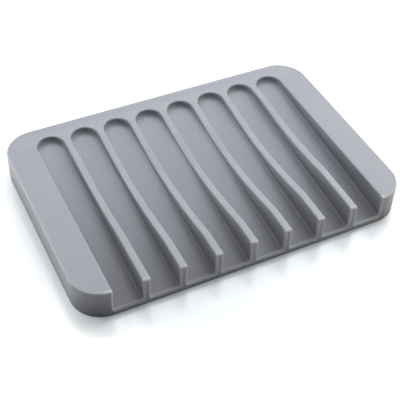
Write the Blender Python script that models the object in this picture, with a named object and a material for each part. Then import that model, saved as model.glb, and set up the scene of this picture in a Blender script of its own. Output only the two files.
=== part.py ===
"""A self-draining soap dish, moulded in one piece of soft silicone.

The tray is a thick slab with round corners. Parallel channels run from round ends behind a narrow back
rim to the open front edge, and their floors fall towards it, so water runs off over a low front lip.
The ribs left between the channels carry the soap, and a shallow scoop lowers their tops in the middle.
The origin is the centre of the underside. +X runs along the long side, -Y points out of the open front
edge and +Z is up. Lengths are in metres.
"""
import math

import bmesh
import bpy

# Plan of the tray
CHANNEL_COUNT = 8
CHANNEL_WIDTH = 0.0096
RIB_THICKNESS = 0.0025
SIDE_RIM_WIDTH = 0.01035
BACK_RIM_WIDTH = 0.0055
TRAY_DEPTH = 0.078

# Heights of the tray: the lip is measured from the underside, the back wall from the rim down
TRAY_HEIGHT = 0.0109
LIP_HEIGHT = 0.0024
BACK_WALL_HEIGHT = 0.0022

# The scoop that the soap lies in, which ends at the side rims
SCOOP_DEPTH = 0.0034
SCOOP_HALF_WIDTH = 0.031
SCOOP_CENTRE_Y = 0.001
SCOOP_END_POWER = 2.4
SCOOP_BORDER_POWER = 1.2

# Every edge of the moulding is rounded by this radius
EDGE_RADIUS = 0.0006

# Lengths that follow from the sizes above. The outer corners turn over the whole width of a side rim
CORNER_RADIUS = SIDE_RIM_WIDTH
FIELD_LENGTH = CHANNEL_COUNT * CHANNEL_WIDTH + (CHANNEL_COUNT - 1) * RIB_THICKNESS
TRAY_LENGTH = FIELD_LENGTH + 2 * SIDE_RIM_WIDTH
CHANNEL_PITCH = CHANNEL_WIDTH + RIB_THICKNESS
CHANNEL_RADIUS = CHANNEL_WIDTH / 2
FRONT_Y = -TRAY_DEPTH / 2
CHANNEL_BACK_Y = TRAY_DEPTH / 2 - BACK_RIM_WIDTH
FLOOR_BACK_HEIGHT = TRAY_HEIGHT - BACK_WALL_HEIGHT

# How finely curves are divided
CORNER_STEPS = 8
CHANNEL_END_STEPS = 14
SCOOP_STEPS = 20
EDGE_STEPS = 2

# Coordinates are rounded to 0.1 micron, so that a corner's end and the channel beside it meet exactly
COORDINATE_DIGITS = 7

# How far a cutter runs past the slab, what counts as the same height, and what counts as an edge
CUTTER_OVERRUN = 0.002
HEIGHT_TOLERANCE = 0.00001
EDGE_ANGLE = math.radians(35)

SILICONE_GREY = (0.42, 0.44, 0.48, 1.0)
SILICONE_ROUGHNESS = 0.55


def clear_scene():
    for scene_object in list(bpy.data.objects):
        bpy.data.objects.remove(scene_object, do_unlink=True)


def silicone():
    material = bpy.data.materials.new("grey_silicone")
    material.use_nodes = True
    shader = material.node_tree.nodes["Principled BSDF"]
    shader.inputs["Base Color"].default_value = SILICONE_GREY
    shader.inputs["Roughness"].default_value = SILICONE_ROUGHNESS
    shader.inputs["Metallic"].default_value = 0.0
    return material


def arc(centre_x, centre_y, radius, start, sweep, steps):
    """Points on a circle, from an angle in degrees and on by a sweep."""
    points = []
    for step in range(steps + 1):
        angle = math.radians(start + sweep * step / steps)
        x = round(centre_x + radius * math.cos(angle), COORDINATE_DIGITS)
        y = round(centre_y + radius * math.sin(angle), COORDINATE_DIGITS)
        points.append((x, y))
    return points


def upright_solid(name, outline, bottom_height, top_height):
    """An object with the outline as its plan, between a bottom that depends on y and a level top."""
    shape = bmesh.new()
    lower = [shape.verts.new((x, y, bottom_height(y))) for x, y in outline]
    upper = [shape.verts.new((x, y, top_height)) for x, y in outline]
    shape.faces.new(lower)
    shape.faces.new(upper)
    for index, corner in enumerate(lower):
        beside = (index + 1) % len(outline)
        shape.faces.new((corner, lower[beside], upper[beside], upper[index]))
    bmesh.ops.recalc_face_normals(shape, faces=shape.faces)
    mesh = bpy.data.meshes.new(name)
    shape.to_mesh(mesh)
    shape.free()
    solid = bpy.data.objects.new(name, mesh)
    bpy.context.scene.collection.objects.link(solid)
    return solid


def add_slab():
    """The tray before it is cut: a rounded rectangle of the full height."""
    corner_x = TRAY_LENGTH / 2 - CORNER_RADIUS
    corner_y = TRAY_DEPTH / 2 - CORNER_RADIUS
    outline = []
    for quarter, (side_x, side_y) in enumerate(((1, 1), (-1, 1), (-1, -1), (1, -1))):
        outline += arc(side_x * corner_x, side_y * corner_y, CORNER_RADIUS, 90 * quarter, 90, CORNER_STEPS)
    return upright_solid("drain_tray", outline, lambda y: 0.0, TRAY_HEIGHT)


def floor_height(y):
    """The channel floor falls in a straight line from the back wall to the front lip."""
    share = (y - FRONT_Y) / (CHANNEL_BACK_Y - FRONT_Y)
    return LIP_HEIGHT + (FLOOR_BACK_HEIGHT - LIP_HEIGHT) * share


def add_channel_cutter(index):
    """One channel: straight sides, a half-round back end and a front that runs past the slab."""
    centre_x = (index - (CHANNEL_COUNT - 1) / 2) * CHANNEL_PITCH
    outline = arc(centre_x, CHANNEL_BACK_Y - CHANNEL_RADIUS, CHANNEL_RADIUS, 0, 180, CHANNEL_END_STEPS)
    mouth_y = FRONT_Y - CUTTER_OVERRUN
    outline += [(outline[-1][0], mouth_y), (outline[0][0], mouth_y)]
    cutter = upright_solid(f"channel_cutter_{index + 1}", outline, floor_height, TRAY_HEIGHT + CUTTER_OVERRUN)
    cutter.hide_render = True
    cutter.display_type = "WIRE"
    return cutter


def cut(tray, cutter):
    boolean = tray.modifiers.new(cutter.name, "BOOLEAN")
    boolean.operation = "DIFFERENCE"
    boolean.object = cutter


def round_edges(tray):
    bevel = tray.modifiers.new("rounded_edges", "BEVEL")
    bevel.limit_method = "ANGLE"
    bevel.angle_limit = EDGE_ANGLE
    bevel.width = EDGE_RADIUS
    bevel.segments = EDGE_STEPS
    bevel.use_clamp_overlap = False


def scoop_drop(x, y):
    """How far the scoop lies under the rim at a place: nothing outside its border."""
    along = abs(2 * x / FIELD_LENGTH) ** SCOOP_END_POWER
    across = ((y - SCOOP_CENTRE_Y) / SCOOP_HALF_WIDTH) ** 2
    return SCOOP_DEPTH * max(0.0, 1 - along - across) ** SCOOP_BORDER_POWER


def press_scoop(tray):
    """Lowers the tops of the ribs, together with their rounded edges, to the scoop's surface."""
    shape = bmesh.new()
    shape.from_object(tray, bpy.context.evaluated_depsgraph_get())
    rounding_foot = TRAY_HEIGHT - EDGE_RADIUS - HEIGHT_TOLERANCE
    for step in range(SCOOP_STEPS + 1):
        line_y = SCOOP_CENTRE_Y + SCOOP_HALF_WIDTH * (1 - 2 * step / SCOOP_STEPS)
        faces = [face for face in shape.faces if min(corner.co.z for corner in face.verts) > rounding_foot]
        if step > 0:
            faces = [face for face in faces if abs(face.calc_center_median().x) < FIELD_LENGTH / 2]
        edges = {edge for face in faces for edge in face.edges}
        corners = {corner for face in faces for corner in face.verts}
        bmesh.ops.bisect_plane(shape, geom=[*corners, *edges, *faces], dist=HEIGHT_TOLERANCE,
                               plane_co=(0.0, line_y, 0.0), plane_no=(0.0, 1.0, 0.0))
    for corner in shape.verts:
        if corner.co.z > rounding_foot:
            corner.co.z -= scoop_drop(corner.co.x, corner.co.y)
    tray.modifiers.clear()
    shape.to_mesh(tray.data)
    shape.free()


def main():
    clear_scene()
    tray = add_slab()
    cutters = [add_channel_cutter(index) for index in range(CHANNEL_COUNT)]
    for cutter in cutters:
        cut(tray, cutter)
    round_edges(tray)
    press_scoop(tray)
    for cutter in cutters:
        bpy.data.objects.remove(cutter)
    tray.data.shade_smooth()
    tray.data.set_sharp_from_angle(angle=EDGE_ANGLE)
    tray.data.materials.append(silicone())


main()
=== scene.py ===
# %% [markdown]
# # A grey silicone soap dish that drains itself
#
# The dish is one soft moulding: a low tray with eight channels that slope down to an open front edge,
# and seven ribs between them that carry the bar of soap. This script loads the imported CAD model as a
# fixed frame, and dresses it: a finer mesh of the same moulding, the silicone, a white table and soft
# studio light. The box of the CAD model is kept, to compare the finished dish with it at the end.

# %% Load the frame
import math

import bmesh
import bpy
from mathutils import Matrix, Vector


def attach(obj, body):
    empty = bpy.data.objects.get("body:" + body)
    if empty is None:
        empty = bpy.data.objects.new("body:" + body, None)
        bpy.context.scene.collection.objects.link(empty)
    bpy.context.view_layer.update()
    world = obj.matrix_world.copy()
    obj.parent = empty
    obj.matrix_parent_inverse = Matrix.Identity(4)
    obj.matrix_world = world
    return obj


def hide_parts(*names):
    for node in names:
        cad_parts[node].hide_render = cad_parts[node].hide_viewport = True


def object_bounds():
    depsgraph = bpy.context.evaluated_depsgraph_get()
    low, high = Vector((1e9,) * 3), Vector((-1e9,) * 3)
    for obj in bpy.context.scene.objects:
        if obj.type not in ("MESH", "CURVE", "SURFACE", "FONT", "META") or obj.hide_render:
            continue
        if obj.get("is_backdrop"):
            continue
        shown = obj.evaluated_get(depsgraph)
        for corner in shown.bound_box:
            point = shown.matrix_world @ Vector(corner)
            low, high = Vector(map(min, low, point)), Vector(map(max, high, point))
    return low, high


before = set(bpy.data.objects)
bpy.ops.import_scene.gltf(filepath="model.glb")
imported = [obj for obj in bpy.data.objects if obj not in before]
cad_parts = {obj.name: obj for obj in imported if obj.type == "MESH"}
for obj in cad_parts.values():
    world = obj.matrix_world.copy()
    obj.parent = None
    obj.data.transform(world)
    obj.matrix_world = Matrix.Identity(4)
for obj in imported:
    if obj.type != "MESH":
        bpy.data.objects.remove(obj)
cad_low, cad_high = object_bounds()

scene = bpy.context.scene
print("CAD box in mm:", [round(1000 * (high - low), 2) for low, high in zip(cad_low, cad_high)])

# %% [markdown]
# ## The camera
#
# The photographer stood before the open edge, almost 30 degrees to its left, and looked down at 45 degrees.
# A camera can be placed by eye, but here its place, turn and focal length were worked out from the straight
# edges and round corners of the tray in the picture. Then they were refined until the ribs and channels of
# the render lay on those of the photograph, to a tenth of a pixel on average. The turn is written as a
# rotation vector: its direction is the axis and its length the angle. The rows of its matrix are the
# camera's right, down and forward directions.

# %% Camera
PICTURE_SIZE = 400
SENSOR_WIDTH = 36.0
FOCAL_LENGTH_IN_PIXELS = 900.06
NEAREST_SEEN = 0.01
CAMERA_PLACE = Vector((-0.10274, -0.196261, 0.215573))
CAMERA_TURN = Vector((2.314351, -0.516978, 0.256385))

camera_data = bpy.data.cameras.new("camera")
camera_data.sensor_width = SENSOR_WIDTH
camera_data.lens = FOCAL_LENGTH_IN_PIXELS * SENSOR_WIDTH / PICTURE_SIZE
camera_data.clip_start = NEAREST_SEEN
camera = bpy.data.objects.new("camera", camera_data)
scene.collection.objects.link(camera)
scene.camera = camera

turn = Matrix.Rotation(CAMERA_TURN.length, 3, CAMERA_TURN.normalized())
right, down, forward = (Vector(row) for row in turn)
facing = Matrix((right, -down, -forward)).transposed().to_4x4()
camera.matrix_world = Matrix.Translation(CAMERA_PLACE) @ facing
print("focal length in mm:", round(camera_data.lens, 2))

# %% [markdown]
# ## The sizes of the moulding
#
# The sizes are the same as in the CAD model: the tray may look finer than its frame, but it may not grow
# or shrink. Only its curves have more steps, and its roundings follow the real ones more closely. The
# mould maker gives each kind of edge its own radius: a small one on the rims and ribs, a larger one on the
# front edges, which a hand touches most, and a soft foot where a channel wall meets the floor. The foot
# grows round the closed end of a channel.

# %% Sizes
CHANNEL_COUNT = 8
CHANNEL_WIDTH = 0.0096
RIB_THICKNESS = 0.0025
SIDE_RIM_WIDTH = 0.01035
BACK_RIM_WIDTH = 0.0055
TRAY_DEPTH = 0.078
TRAY_HEIGHT = 0.0109
LIP_HEIGHT = 0.0024
BACK_WALL_HEIGHT = 0.0022

TOP_EDGE_RADIUS = 0.0005
FRONT_EDGE_RADIUS = 0.0008
UNDER_EDGE_RADIUS = 0.0004
FOOT_RADIUS = 0.0005
FOOT_RADIUS_NOSE = 0.0015

# The outer corners turn over the whole width of a side rim
CORNER_RADIUS = SIDE_RIM_WIDTH
FIELD_LENGTH = CHANNEL_COUNT * CHANNEL_WIDTH + (CHANNEL_COUNT - 1) * RIB_THICKNESS
TRAY_LENGTH = FIELD_LENGTH + 2 * SIDE_RIM_WIDTH
CHANNEL_PITCH = CHANNEL_WIDTH + RIB_THICKNESS
CHANNEL_RADIUS = CHANNEL_WIDTH / 2
FRONT_Y = -TRAY_DEPTH / 2
CHANNEL_BACK_Y = TRAY_DEPTH / 2 - BACK_RIM_WIDTH
END_CENTRE_Y = CHANNEL_BACK_Y - CHANNEL_RADIUS
FLOOR_BACK_HEIGHT = TRAY_HEIGHT - BACK_WALL_HEIGHT

# Places closer together than this count as the same
TINY = 0.00001

print("tray in mm:", [round(1000 * size, 2) for size in (TRAY_LENGTH, TRAY_DEPTH, TRAY_HEIGHT)])

# %% [markdown]
# ## The blank slab
#
# Before anything is cut, the tray is a slab with round corners. A cube with a Bevel modifier would do,
# but an outline of points that is drawn up into a solid keeps full control of how fine the corners are.
# The same helper makes the slab and the channel cores, because it stacks any number of outlines on each
# other and closes the lowest and the highest.

# %% Slab
CORNER_STEPS = 20
COORDINATE_DIGITS = 7
FLAT_REACH = 0.00005


def arc(centre_x, centre_y, radius, start, sweep, steps):
    """Points on a circle, from an angle in degrees and on by a sweep, rounded to 0.1 micron."""
    points = []
    for step in range(steps + 1):
        angle = math.radians(start + sweep * step / steps)
        x = round(centre_x + radius * math.cos(angle), COORDINATE_DIGITS)
        y = round(centre_y + radius * math.sin(angle), COORDINATE_DIGITS)
        points.append((x, y))
    return points


def stacked_solid(name, layers):
    """A solid through outlines that lie above each other, each a list of the same number of points."""
    shape = bmesh.new()
    rings = [[shape.verts.new(point) for point in layer] for layer in layers]
    shape.faces.new(rings[0])
    shape.faces.new(rings[-1])
    for lower, upper in zip(rings, rings[1:]):
        for index in range(len(lower)):
            after = (index + 1) % len(lower)
            shape.faces.new((lower[index], lower[after], upper[after], upper[index]))
    bmesh.ops.recalc_face_normals(shape, faces=shape.faces)
    mesh = bpy.data.meshes.new(name)
    shape.to_mesh(mesh)
    shape.free()
    solid = bpy.data.objects.new(name, mesh)
    scene.collection.objects.link(solid)
    return solid


outline = []
for quarter, (side_x, side_y) in enumerate(((1, 1), (-1, 1), (-1, -1), (1, -1))):
    centre_x = side_x * (TRAY_LENGTH / 2 - CORNER_RADIUS)
    centre_y = side_y * (TRAY_DEPTH / 2 - CORNER_RADIUS)
    outline += arc(centre_x, centre_y, CORNER_RADIUS, 90 * quarter, 90, CORNER_STEPS)

# The outer channels begin just where the arcs of the front corners end. So those two end points are left
# out, and the points beside them, less than the flat reach behind the front, move onto it
front_run = TRAY_LENGTH / 2 - CORNER_RADIUS + TINY
outline = [(x, y) for x, y in outline if y > FRONT_Y + TINY or abs(x) > front_run]
outline = [(x, FRONT_Y if y < FRONT_Y + FLAT_REACH else y) for x, y in outline]
tray = stacked_solid("silicone_tray", [[(x, y, z) for x, y in outline] for z in (0.0, TRAY_HEIGHT)])
print("slab outline points:", len(outline))

# %% [markdown]
# ## The channel cores
#
# In the steel mould a bar with a round nose stands where each channel will be. Here the same bar is
# subtracted from the slab with a Boolean modifier. Its lower edge is rounded before the cut, because
# that leaves a smooth foot in the channel. A Bevel afterwards could do that too, but the foot changes
# its radius along the channel, and a stack of outlines that draw in towards the floor can follow that.

# %% Channel cores
NOSE_STEPS = 32
FOOT_STEPS = 6
OVERRUN = 0.002


def floor_height(y):
    """The channel floor falls in a straight line from the back wall to the front lip."""
    return LIP_HEIGHT + (FLOOR_BACK_HEIGHT - LIP_HEIGHT) * (y - FRONT_Y) / (CHANNEL_BACK_Y - FRONT_Y)


def foot_radius(y):
    """The rounding at the foot of the walls: even along the channel, then growing round the nose."""
    share = max(0.0, (y - END_CENTRE_Y) / CHANNEL_RADIUS)
    return FOOT_RADIUS + (FOOT_RADIUS_NOSE - FOOT_RADIUS) * share


def core_layer(centre_x, angle):
    """One outline of a core: at angle 0 it lies on the floor, and at 90 degrees on the wall."""
    mouth_y = FRONT_Y - OVERRUN
    layer = []
    for x, y in arc(centre_x, END_CENTRE_Y, CHANNEL_RADIUS, 0, 180, NOSE_STEPS):
        inset = foot_radius(y) * (1 - math.sin(angle)) / CHANNEL_RADIUS
        inner_x = centre_x + (x - centre_x) * (1 - inset)
        inner_y = END_CENTRE_Y + (y - END_CENTRE_Y) * (1 - inset)
        layer.append((inner_x, inner_y, floor_height(inner_y) + foot_radius(y) * (1 - math.cos(angle))))
    mouth_z = floor_height(mouth_y) + foot_radius(mouth_y) * (1 - math.cos(angle))
    for side in (-1, 1):
        inner_x = centre_x + side * (CHANNEL_RADIUS - foot_radius(mouth_y) * (1 - math.sin(angle)))
        layer.append((inner_x, mouth_y, mouth_z))
    return layer


cores = []
for index in range(CHANNEL_COUNT):
    centre_x = (index - (CHANNEL_COUNT - 1) / 2) * CHANNEL_PITCH
    layers = [core_layer(centre_x, math.radians(90 * step / FOOT_STEPS)) for step in range(FOOT_STEPS + 1)]
    layers.append([(x, y, TRAY_HEIGHT + OVERRUN) for x, y, z in layers[-1]])
    cores.append(stacked_solid(f"core_{index + 1}", layers))
for core in cores:
    boolean = tray.modifiers.new(core.name, "BOOLEAN")
    boolean.object = core
print("cores:", len(cores))

# %% [markdown]
# ## The rounded edges
#
# The cut tray has knife edges, and a Bevel modifier rounds them. It can find them by their angle, but
# then all get one radius. Bevel weights give each edge its own: the modifier's width is the largest
# radius, and an edge's weight is its share of that. So the cut is baked into the mesh first, and each
# sharp edge is looked at: level with the rim, on the front face, or round the underside.

# %% Bevel weights
EDGE_STEPS = 5
SHARP_ANGLE = math.radians(35)


def bake(piece):
    """Turns a piece's modifiers into its own mesh, and gives that mesh as a bmesh to work on."""
    shape = bmesh.new()
    shape.from_object(piece, bpy.context.evaluated_depsgraph_get())
    piece.modifiers.clear()
    return shape


def edge_on_rib(edge):
    """Whether an edge lies between the two side rims."""
    return max(abs(corner.co.x) for corner in edge.verts) < FIELD_LENGTH / 2 - TINY


def edge_radius(edge):
    """The radius that the mould maker gives this edge of the cut tray."""
    heights = [corner.co.z for corner in edge.verts]
    on_front = max(corner.co.y for corner in edge.verts) < FRONT_Y + TINY
    if min(heights) > TRAY_HEIGHT - TINY and not (on_front and edge_on_rib(edge)):
        return TOP_EDGE_RADIUS
    if max(heights) < TINY:
        return UNDER_EDGE_RADIUS
    return FRONT_EDGE_RADIUS


shape = bake(tray)
weight = shape.edges.layers.float.new("bevel_weight_edge")
sharp_edges = [edge for edge in shape.edges if edge.calc_face_angle(0.0) > SHARP_ANGLE]
for edge in sharp_edges:
    edge[weight] = edge_radius(edge) / FRONT_EDGE_RADIUS
shape.to_mesh(tray.data)
shape.free()
for core in cores:
    bpy.data.objects.remove(core)

bevel = tray.modifiers.new("edges", "BEVEL")
bevel.limit_method = "WEIGHT"
bevel.width = FRONT_EDGE_RADIUS
bevel.segments = EDGE_STEPS
bevel.use_clamp_overlap = False
print("rounded edges:", len(sharp_edges))

# %% [markdown]
# ## The scoop
#
# The bar of soap lies in a shallow scoop, which lowers the tops of the ribs in the middle of the tray.
# Cutting with a large ball would take the roundings off with it. So the tops are sliced crosswise into
# short strips, and every point above the foot of the roundings is lowered to the scoop: the roundings
# go down with the top, and stay as they are. Two of Blender's tools then keep the shading clean: sharp
# marks stop it from being smoothed over an edge that is still sharp, and weighted normals let the large
# flat faces decide it, so that only the roundings look round.

# %% Scoop
SCOOP_DEPTH = 0.0034
SCOOP_HALF_WIDTH = 0.031
SCOOP_CENTRE_Y = 0.001
SCOOP_END_POWER = 2.4
SCOOP_BORDER_POWER = 1.2
SCOOP_STEPS = 62


def scoop_drop(x, y):
    """How far the scoop lies under the rim at a place: nothing outside its border."""
    along = abs(2 * x / FIELD_LENGTH) ** SCOOP_END_POWER
    across = ((y - SCOOP_CENTRE_Y) / SCOOP_HALF_WIDTH) ** 2
    return SCOOP_DEPTH * max(0.0, 1 - along - across) ** SCOOP_BORDER_POWER


def slice_across(shape, y, faces):
    """Cuts some faces of a shape along a line that runs from side to side."""
    parts = {part for face in faces for part in (*face.edges, *face.verts)}
    bmesh.ops.bisect_plane(shape, geom=[*faces, *parts], dist=TINY, plane_co=(0, y, 0), plane_no=(0, 1, 0))


shape = bake(tray)
rounding_foot = TRAY_HEIGHT - TOP_EDGE_RADIUS - TINY
for step in range(SCOOP_STEPS + 1):
    line_y = SCOOP_CENTRE_Y + SCOOP_HALF_WIDTH * (1 - 2 * step / SCOOP_STEPS)
    faces = [face for face in shape.faces if min(corner.co.z for corner in face.verts) > rounding_foot]
    # The first slice parts the ribs and the side rims from the back rim. The others keep to the ribs
    if step > 0:
        faces = [face for face in faces if abs(face.calc_center_median().x) < FIELD_LENGTH / 2]
    slice_across(shape, line_y, faces)
for corner in shape.verts:
    if corner.co.z > rounding_foot:
        corner.co.z -= scoop_drop(corner.co.x, corner.co.y)
shape.to_mesh(tray.data)
shape.free()

tray.data.shade_smooth()
tray.data.set_sharp_from_angle(angle=SHARP_ANGLE)
normals = tray.modifiers.new("flat_faces_stay_flat", "WEIGHTED_NORMAL")
normals.keep_sharp = True
deepest = scoop_drop(0, SCOOP_CENTRE_Y)
print("tray faces:", len(tray.data.polygons), "deepest drop in mm:", round(1000 * deepest, 2))

# %% [markdown]
# ## The tray takes its place in the frame
#
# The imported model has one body, because nothing on this dish moves. The fine tray stands for the CAD
# tray, which stays unseen in the physics model, and it rides on the same body.

# %% Tray in the frame
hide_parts("drain_tray")
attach(tray, "root")
box = [[round(1000 * side, 2) for side in corner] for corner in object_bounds()]
print("box of the dressed part in mm:", box)

# %% [markdown]
# ## Where the tray is pale: wear and painted highlight
#
# Silicone in use isn't the same all over. The front outline, where the moulding was trimmed and hands take
# hold, is palest, and the outer edges come next. The inner edges and the tops of the ribs, where the soap
# rubs, are only a little paler. This paleness is partly wear and partly painted highlight: the light lines
# that the roundings catch, and the brightness of the rib tops, are painted into the colour. A shader can
# look for edges while it renders, but that is slow and is lost on export, and the mesh already knows them.
# So each point stores its wear and highlight, from how sharply the surface turns there. Stored values run
# evenly along a face. One slice across the tray ends the long faces just behind the front, so that the
# paleness of the front doesn't run back along them.

# %% Wear and painted highlight
# The pale grey on edges and rib tops is partly wear and partly painted highlight
FULL_TURN_RADIUS = 0.0008
SLIGHT_TURN = 0.15
OUTER_EDGE_WEAR_AND_HIGHLIGHT = 0.6
INNER_EDGE_WEAR_AND_HIGHLIGHT = 0.12
RIB_TOP_WEAR_AND_HIGHLIGHT = 0.12
FACING_UP = 0.5
INNER_EDGE_END_X = FIELD_LENGTH / 2 + TOP_EDGE_RADIUS
INNER_EDGE_END_Y = CHANNEL_BACK_Y + TOP_EDGE_RADIUS
WEAR_AND_HIGHLIGHT_END_Y = FRONT_Y + 2 * FRONT_EDGE_RADIUS


def ridge(edge):
    """How sharply the surface turns outwards across an edge: 1 on a rounding of the full-turn radius."""
    first, second = (face.calc_center_median() for face in edge.link_faces)
    return edge.calc_face_angle_signed() * FULL_TURN_RADIUS / (first - second).length


def wear_and_highlight(corner):
    """How pale a point is, from wear and painted highlight: 1 on the front outline, and 0 on plain faces.
    """
    sharpness = max(ridge(edge) for edge in corner.link_edges)
    sharpness = min(1.0, max(0.0, sharpness - SLIGHT_TURN) / (1 - SLIGHT_TURN))
    if corner.co.y < FRONT_Y + FRONT_EDGE_RADIUS:
        return sharpness
    inside = abs(corner.co.x) < INNER_EDGE_END_X and corner.co.y < INNER_EDGE_END_Y
    edge_wear_and_highlight = sharpness * (INNER_EDGE_WEAR_AND_HIGHLIGHT if inside else OUTER_EDGE_WEAR_AND_HIGHLIGHT)
    faces_up_on_rib = abs(corner.co.x) < FIELD_LENGTH / 2 and corner.normal.z > FACING_UP
    above_floor = corner.co.z > floor_height(corner.co.y) + FOOT_RADIUS_NOSE
    return max(edge_wear_and_highlight, RIB_TOP_WEAR_AND_HIGHLIGHT if faces_up_on_rib and above_floor else 0.0)


def store(name, corners, measure):
    """Gives each point of the tray a value, which a material can read by its name."""
    values = [measure(corner) for corner in corners]
    tray.data.attributes.new(name, "FLOAT", "POINT").data.foreach_set("value", values)
    print(f"{name}: {sum(value > 0.5 for value in values)} of {len(values)} points over one half")


shape = bmesh.new()
shape.from_mesh(tray.data)
slice_across(shape, WEAR_AND_HIGHLIGHT_END_Y, shape.faces)
shape.normal_update()
shape.to_mesh(tray.data)
store("wear_and_highlight", shape.verts, wear_and_highlight)

# %% [markdown]
# ## Painted shade in the channels
#
# The channels get a darker grey painted in, which stands in for the shade that falls down in them. The
# outer walls get it too, darker towards the table. An Ambient Occlusion node could find such places while
# it renders, but that is slow, and the mesh knows them. So each point also stores its painted shade, from
# how far it lies below the tops around it. The front faces of the lip and the ribs lie as low, but they
# face the room, and get only a small share.

# %% Painted shade
OPEN_FRONT_SHADE_SHARE = 0.1


def painted_shade(corner):
    """Painted shade at a point: 0 on the tops, 1 from the channels' mouths down, little on the open front.
    """
    top = TRAY_HEIGHT - scoop_drop(corner.co.x, corner.co.y)
    share = min(1.0, max(0.0, (top - corner.co.z) / (TRAY_HEIGHT - LIP_HEIGHT)))
    on_front = corner.co.y < FRONT_Y + FRONT_EDGE_RADIUS / 2
    on_open_front = on_front and abs(corner.co.x) < FIELD_LENGTH / 2
    return share * OPEN_FRONT_SHADE_SHARE if on_open_front else share


store("painted_shade", shape.verts, painted_shade)
shape.free()

# %% [markdown]
# ## A fine grain for more than one material
#
# The steel mould was spark-eroded, and its matt grain is pressed into every tray. The table top has a
# finer grain of its own. Both are the same idea with other numbers, so the grain is a node group, built
# once: it takes the number of grains in a metre and their relief, and gives a speckle between 0 and 1
# and a normal. Its coordinates are the object's own, so the grain sticks to the piece when it moves.

# %% Fine grain group
GRAIN_DETAIL = 3.0
GRAIN_NOISE_ROUGHNESS = 0.6


def add_node(tree, kind, **values):
    """Adds a shader node and sets its inputs by name, with an underscore for each space."""
    node = tree.nodes.new(kind)
    for name, value in values.items():
        node.inputs[name.replace("_", " ")].default_value = value
    return node


fine_grain = bpy.data.node_groups.new("fine_grain", "ShaderNodeTree")
for name in ("Grains per Metre", "Relief"):
    fine_grain.interface.new_socket(name, in_out="INPUT", socket_type="NodeSocketFloat")
fine_grain.interface.new_socket("Speckle", in_out="OUTPUT", socket_type="NodeSocketFloat")
fine_grain.interface.new_socket("Normal", in_out="OUTPUT", socket_type="NodeSocketVector")

given = add_node(fine_grain, "NodeGroupInput")
place = add_node(fine_grain, "ShaderNodeTexCoord")
grain_noise = add_node(fine_grain, "ShaderNodeTexNoise", Detail=GRAIN_DETAIL,
                       Roughness=GRAIN_NOISE_ROUGHNESS)
relief = add_node(fine_grain, "ShaderNodeBump")
result = add_node(fine_grain, "NodeGroupOutput")
connect = fine_grain.links.new
connect(place.outputs["Object"], grain_noise.inputs["Vector"])
connect(given.outputs["Grains per Metre"], grain_noise.inputs["Scale"])
connect(given.outputs["Relief"], relief.inputs["Distance"])
connect(grain_noise.outputs["Fac"], relief.inputs["Height"])
connect(grain_noise.outputs["Fac"], result.inputs["Speckle"])
connect(relief.outputs["Normal"], result.inputs["Normal"])
print("sockets of the grain:", [socket.name for socket in fine_grain.interface.items_tree])

# %% [markdown]
# ## Grey silicone: the grey and its painted shade
#
# This silicone is a soft, slightly bluish grey with a matt skin. Its Principled shader would look like
# paint with one colour and one roughness, so this step and the next two break both up. The first thing is
# the painted shade of the deep places: two greys are mixed by the stored painted shade, raised to a power
# a little over 1, because a channel darkens most towards its open end.

# %% Silicone grey and painted shade
# A darker grey is painted where shade falls: in the channels and low on the outer walls
PAINTED_SHADE_GREY = (0.2, 0.204, 0.217, 1.0)
SILICONE_GREY = (0.375, 0.394, 0.44, 1.0)
PAINTED_SHADE_POWER = 1.3


def new_material(name):
    """A material with its node tree and its Principled shader."""
    material = bpy.data.materials.new(name)
    material.use_nodes = True
    return material, material.node_tree, material.node_tree.nodes["Principled BSDF"]


def stored_value(tree, name):
    """A value that the mesh stores at its points."""
    node = add_node(tree, "ShaderNodeAttribute")
    node.attribute_name = name
    return node.outputs["Fac"]


def fill(tree, sockets, values):
    """Fills sockets one by one. Each value is another socket, to link, or a plain value."""
    for socket, value in zip(sockets, values):
        if isinstance(value, bpy.types.NodeSocket):
            tree.links.new(value, socket)
        else:
            socket.default_value = value


def calculated(tree, operation, *values):
    """A Math node, with sockets or plain numbers as its values."""
    node = add_node(tree, "ShaderNodeMath")
    node.operation = operation
    fill(tree, node.inputs, values)
    return node.outputs["Value"]


def mixed(tree, blend, factor, first, second):
    """A Mix node for colours. It has sockets for numbers and vectors too, and only the colours are used."""
    node = add_node(tree, "ShaderNodeMix")
    node.data_type = "RGBA"
    node.blend_type = blend
    colours = [socket for socket in node.inputs if socket.type == "RGBA"]
    fill(tree, [node.inputs["Factor"], *colours], [factor, first, second])
    return next(socket for socket in node.outputs if socket.type == "RGBA")


silicone, tree, silicone_shader = new_material("grey_silicone")
# The stored painted shade darkens the grey
shade_amount = calculated(tree, "POWER", stored_value(tree, "painted_shade"), PAINTED_SHADE_POWER)
grey_and_painted_shade = mixed(tree, "MIX", shade_amount, SILICONE_GREY, PAINTED_SHADE_GREY)
print("greys:", SILICONE_GREY[:3], "and, where it is sheltered,", PAINTED_SHADE_GREY[:3])

# %% [markdown]
# ## Grey silicone: clouds and speckle
#
# The pigment is milled into the silicone before it is pressed, and never quite evenly. So clouds about
# three centimetres wide make the grey a little lighter or darker, and the pressed-in grain speckles it.
# Both come from noise. A picture of silicone would do that too, but it would have to be stretched over
# the tray, while noise in the object's own coordinates runs through it like the real pigment. Each
# multiplies the colour, because that keeps the bluish tone as it is.

# %% Clouds and speckle
CLOUDS_PER_METRE = 38.0
CLOUD_DETAIL = 3.0
CLOUD_SHADES = (0.975, 1.025)
SILICONE_GRAINS_PER_METRE = 2400.0
SILICONE_RELIEF = 0.00003
GRAIN_SHADES = (0.91, 1.09)
NOISE_LOW = 0.3
NOISE_HIGH = 0.7


def place_grain(tree, grains_per_metre, relief):
    """The fine grain with a material's own values."""
    grain = add_node(tree, "ShaderNodeGroup")
    grain.node_tree = fine_grain
    grain.inputs["Grains per Metre"].default_value = grains_per_metre
    grain.inputs["Relief"].default_value = relief
    return grain


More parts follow.
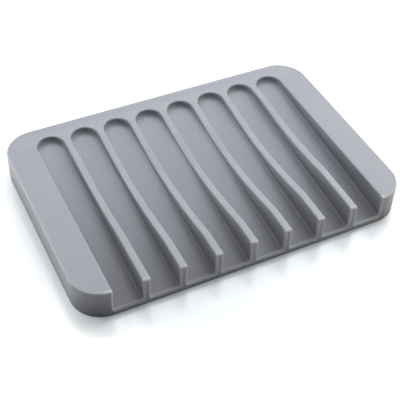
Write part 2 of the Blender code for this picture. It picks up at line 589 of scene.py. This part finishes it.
def spread(tree, value, low, high):
    """Spreads the middle of a noise, where most of it lies, over a range."""
    node = add_node(tree, "ShaderNodeMapRange", From_Min=NOISE_LOW, From_Max=NOISE_HIGH,
                    To_Min=low, To_Max=high)
    tree.links.new(value, node.inputs["Value"])
    return node.outputs["Result"]


place = add_node(tree, "ShaderNodeTexCoord")
clouds = add_node(tree, "ShaderNodeTexNoise", Scale=CLOUDS_PER_METRE, Detail=CLOUD_DETAIL)
tree.links.new(place.outputs["Object"], clouds.inputs["Vector"])
grain = place_grain(tree, SILICONE_GRAINS_PER_METRE, SILICONE_RELIEF)
clouded = mixed(tree, "MULTIPLY", 1.0, grey_and_painted_shade, spread(tree, clouds.outputs["Fac"], *CLOUD_SHADES))
speckled = mixed(tree, "MULTIPLY", 1.0, clouded, spread(tree, grain.outputs["Speckle"], *GRAIN_SHADES))
print("grain size in mm:", round(1000 / SILICONE_GRAINS_PER_METRE, 2))

# %% [markdown]
# ## Grey silicone: pale edges and skin
#
# Rubbed silicone turns pale, and a little smoother. The stored value mixes in a pale grey, which is partly
# wear and partly painted highlight on the roundings, in patches that follow the clouds, because nothing is
# rubbed evenly. The roughness follows the grain and drops with the wear, and the grain's normal breaks up
# the gloss. The refraction index is the same all over, so it is set on the shader itself. A clear coat over
# it isn't used, because the real tray has none.

# %% Pale edges and skin
# A pale grey, for worn edges and for painted highlights on the roundings
WEAR_AND_HIGHLIGHT_GREY = (0.78, 0.79, 0.78, 1.0)
WEAR_AND_HIGHLIGHT_PATCHES = (0.6, 1.0)
SKIN_ROUGHNESS = (0.36, 0.44)
RUBBED_ROUGHNESS_CHANGE = -0.06
SILICONE_IOR = 1.41

# The pale grey of wear and painted highlight goes on by the stored value, in patches
patches = spread(tree, clouds.outputs["Fac"], *WEAR_AND_HIGHLIGHT_PATCHES)
wear_and_highlight_share = calculated(tree, "MULTIPLY", stored_value(tree, "wear_and_highlight"), patches)
tree.links.new(mixed(tree, "MIX", wear_and_highlight_share, speckled, WEAR_AND_HIGHLIGHT_GREY), silicone_shader.inputs["Base Color"])
skin = spread(tree, grain.outputs["Speckle"], *SKIN_ROUGHNESS)
smoother = calculated(tree, "MULTIPLY_ADD", wear_and_highlight_share, RUBBED_ROUGHNESS_CHANGE, skin)
tree.links.new(smoother, silicone_shader.inputs["Roughness"])
tree.links.new(grain.outputs["Normal"], silicone_shader.inputs["Normal"])
silicone_shader.inputs["IOR"].default_value = SILICONE_IOR
tray.data.materials.append(silicone)
print("nodes in the silicone:", len(tree.nodes))

# %% [markdown]
# ## The white table
#
# The photograph's ground is pure white, and only a soft shadow and a faint reflection tell that the tray
# stands on something. A lamp strong enough to burn the table out would burn the tray out too. So the
# table has two whites: Light Path tells camera, glossy and transmission rays, which look at it, from the
# rays that carry light to the tray, and only those that look find the brighter one. Its smooth laminate
# has the fine grain too, and mirrors the tray faintly.

# %% Table
TABLE_SIZE = 6.0
TABLE_WHITE = (0.65, 0.65, 0.65, 1.0)
TABLE_WHITE_SEEN = (0.95, 0.95, 0.95, 1.0)
TABLE_GRAINS_PER_METRE = 4000.0
TABLE_RELIEF = 0.00001
TABLE_SHADES = (0.99, 1.0)
TABLE_ROUGHNESS = (0.18, 0.24)


def seen_ray(tree):
    """1 for a ray that looks at the surroundings, straight, mirrored or through glass, and 0 for light."""
    path = add_node(tree, "ShaderNodeLightPath")
    seen = path.outputs["Is Camera Ray"]
    for name in ("Is Glossy Ray", "Is Transmission Ray"):
        seen = calculated(tree, "MAXIMUM", seen, path.outputs[name])
    return seen


bpy.ops.mesh.primitive_plane_add(size=TABLE_SIZE, location=(0.0, 0.0, -TINY))
table = bpy.context.object
table.name = "white_table"
white, tree, white_shader = new_material("white_laminate")
grain = place_grain(tree, TABLE_GRAINS_PER_METRE, TABLE_RELIEF)
seen = seen_ray(tree)
whites = mixed(tree, "MIX", seen, TABLE_WHITE, TABLE_WHITE_SEEN)
grained = mixed(tree, "MULTIPLY", 1.0, whites, spread(tree, grain.outputs["Speckle"], *TABLE_SHADES))
skin = spread(tree, grain.outputs["Speckle"], *TABLE_ROUGHNESS)
tree.links.new(grained, white_shader.inputs["Base Color"])
tree.links.new(skin, white_shader.inputs["Roughness"])
tree.links.new(grain.outputs["Normal"], white_shader.inputs["Normal"])
table.data.materials.append(white)
table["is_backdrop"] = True
print("table size in m:", TABLE_SIZE)

# %% [markdown]
# ## The glow of the table
#
# Under these lamps the brighter white isn't pure white yet, so the table also glows, again only for the
# rays that look at it. A glow that is the same all over would wash the tray's shadow out. So it is weak
# near the tray and a little cool, as the shadow in the photograph is, and grows to full white farther out.

# %% Glow of the table
GLOW_NEAR = (0.16, 0.19, 0.2, 1.0)
GLOW_FAR = (1.0, 1.0, 1.0, 1.0)
GLOW_NEAR_RADIUS = 0.056
GLOW_FAR_RADIUS = 0.1

place = add_node(tree, "ShaderNodeTexCoord")
from_tray = add_node(tree, "ShaderNodeVectorMath")
from_tray.operation = "LENGTH"
tree.links.new(place.outputs["Object"], from_tray.inputs[0])
far = add_node(tree, "ShaderNodeMapRange", From_Min=GLOW_NEAR_RADIUS, From_Max=GLOW_FAR_RADIUS)
far.interpolation_type = "SMOOTHSTEP"
tree.links.new(from_tray.outputs["Value"], far.inputs["Value"])
glow = mixed(tree, "MIX", far.outputs["Result"], GLOW_NEAR, GLOW_FAR)
tree.links.new(glow, white_shader.inputs["Emission Color"])
tree.links.new(seen, white_shader.inputs["Emission Strength"])
print("nodes in the table:", len(tree.nodes))

# %% [markdown]
# ## Soft studio light
#
# The bright rims and dark rib ends of the photograph say where its light came from: a small bright panel
# overhead, large ones high behind the tray on either side, one lower on the right, a low strip that lights
# the left wall, and only a weak panel at the front right. Their brightness was worked out by rendering the
# tray under each lamp alone, and looking for the sum that is closest to the photograph. Each is an area
# lamp, given by the direction it is in, the angle it fills as seen from the tray, and its brightness, where
# 1 is that of a white background.

# %% Light
SOFTBOXES = {
    # name: azimuth of its direction from +X towards +Y, elevation, width and height in degrees, distance
    # in metres, brightness, colour
    "top_panel": (30, 80, 15, 15, 0.45, 3.11, (1.04, 0.97, 0.99)),
    "high_panel": (45, 58, 50, 25, 0.45, 2.28, (0.92, 1.0, 1.08)),
    "back_panel": (120, 50, 50, 25, 0.45, 2.42, (0.98, 0.99, 1.03)),
    "right_panel": (20, 30, 50, 40, 0.45, 1.87, (1.09, 1.0, 0.91)),
    "left_strip": (155, 10, 30, 14, 0.28, 4.44, (1.04, 1.02, 0.95)),
    "front_panel": (330, 20, 40, 30, 0.3, 0.66, (1.05, 1.02, 0.93)),
}

# The power that makes a square metre of an area lamp as bright as a white background of strength 1
WATTS_PER_SQUARE_METRE = 4


def add_softbox(name, azimuth, elevation, width_angle, height_angle, distance, brightness, colour):
    """An area lamp that faces the tray. Its power follows from its area and its brightness."""
    width = 2 * distance * math.tan(math.radians(width_angle / 2))
    height = 2 * distance * math.tan(math.radians(height_angle / 2))
    around = math.radians(azimuth)
    up = math.radians(elevation)
    towards = Vector((math.cos(around) * math.cos(up), math.sin(around) * math.cos(up), math.sin(up)))
    lamp_data = bpy.data.lights.new(name, "AREA")
    lamp_data.shape = "RECTANGLE"
    lamp_data.size = width
    lamp_data.size_y = height
    lamp_data.energy = WATTS_PER_SQUARE_METRE * width * height * brightness
    lamp_data.color = colour
    lamp = bpy.data.objects.new(name, lamp_data)
    lamp.location = towards * distance
    lamp.rotation_euler = towards.to_track_quat("Z", "Y").to_euler()
    lamp.visible_camera = False
    scene.collection.objects.link(lamp)


for name, settings in SOFTBOXES.items():
    add_softbox(name, *settings)
print("softboxes:", len(SOFTBOXES))

# %% [markdown]
# ## The white around the table
#
# Past the table's edge the picture and the reflections should find the same white. A world that shines
# would do that, but it would also light the tray from all sides and take its shadows away. So the world
# has strength 1 only for the rays that look at it, by the same helper as the table: it shows in the gloss
# of the silicone, and casts no other light.

# %% World
WORLD_WHITE = (1.0, 1.0, 1.0, 1.0)

world = bpy.data.worlds.new("studio")
scene.world = world
world.use_nodes = True
background = world.node_tree.nodes["Background"]
background.inputs["Color"].default_value = WORLD_WHITE
world.node_tree.links.new(seen_ray(world.node_tree), background.inputs["Strength"])
print("nodes in the world:", len(world.node_tree.nodes))

# %% [markdown]
#
# The Standard view shows colours as they were chosen, with no film look on top. The box of the dressed
# part is written beside the CAD box, so that the two can be compared: they should be the same.

# %% Finish
scene.view_settings.view_transform = "Standard"
low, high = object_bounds()
changes = [abs(side - cad_side) for side, cad_side in zip((*low, *high), (*cad_low, *cad_high))]
print("largest difference from the CAD box in mm:", round(1000 * max(changes), 3))
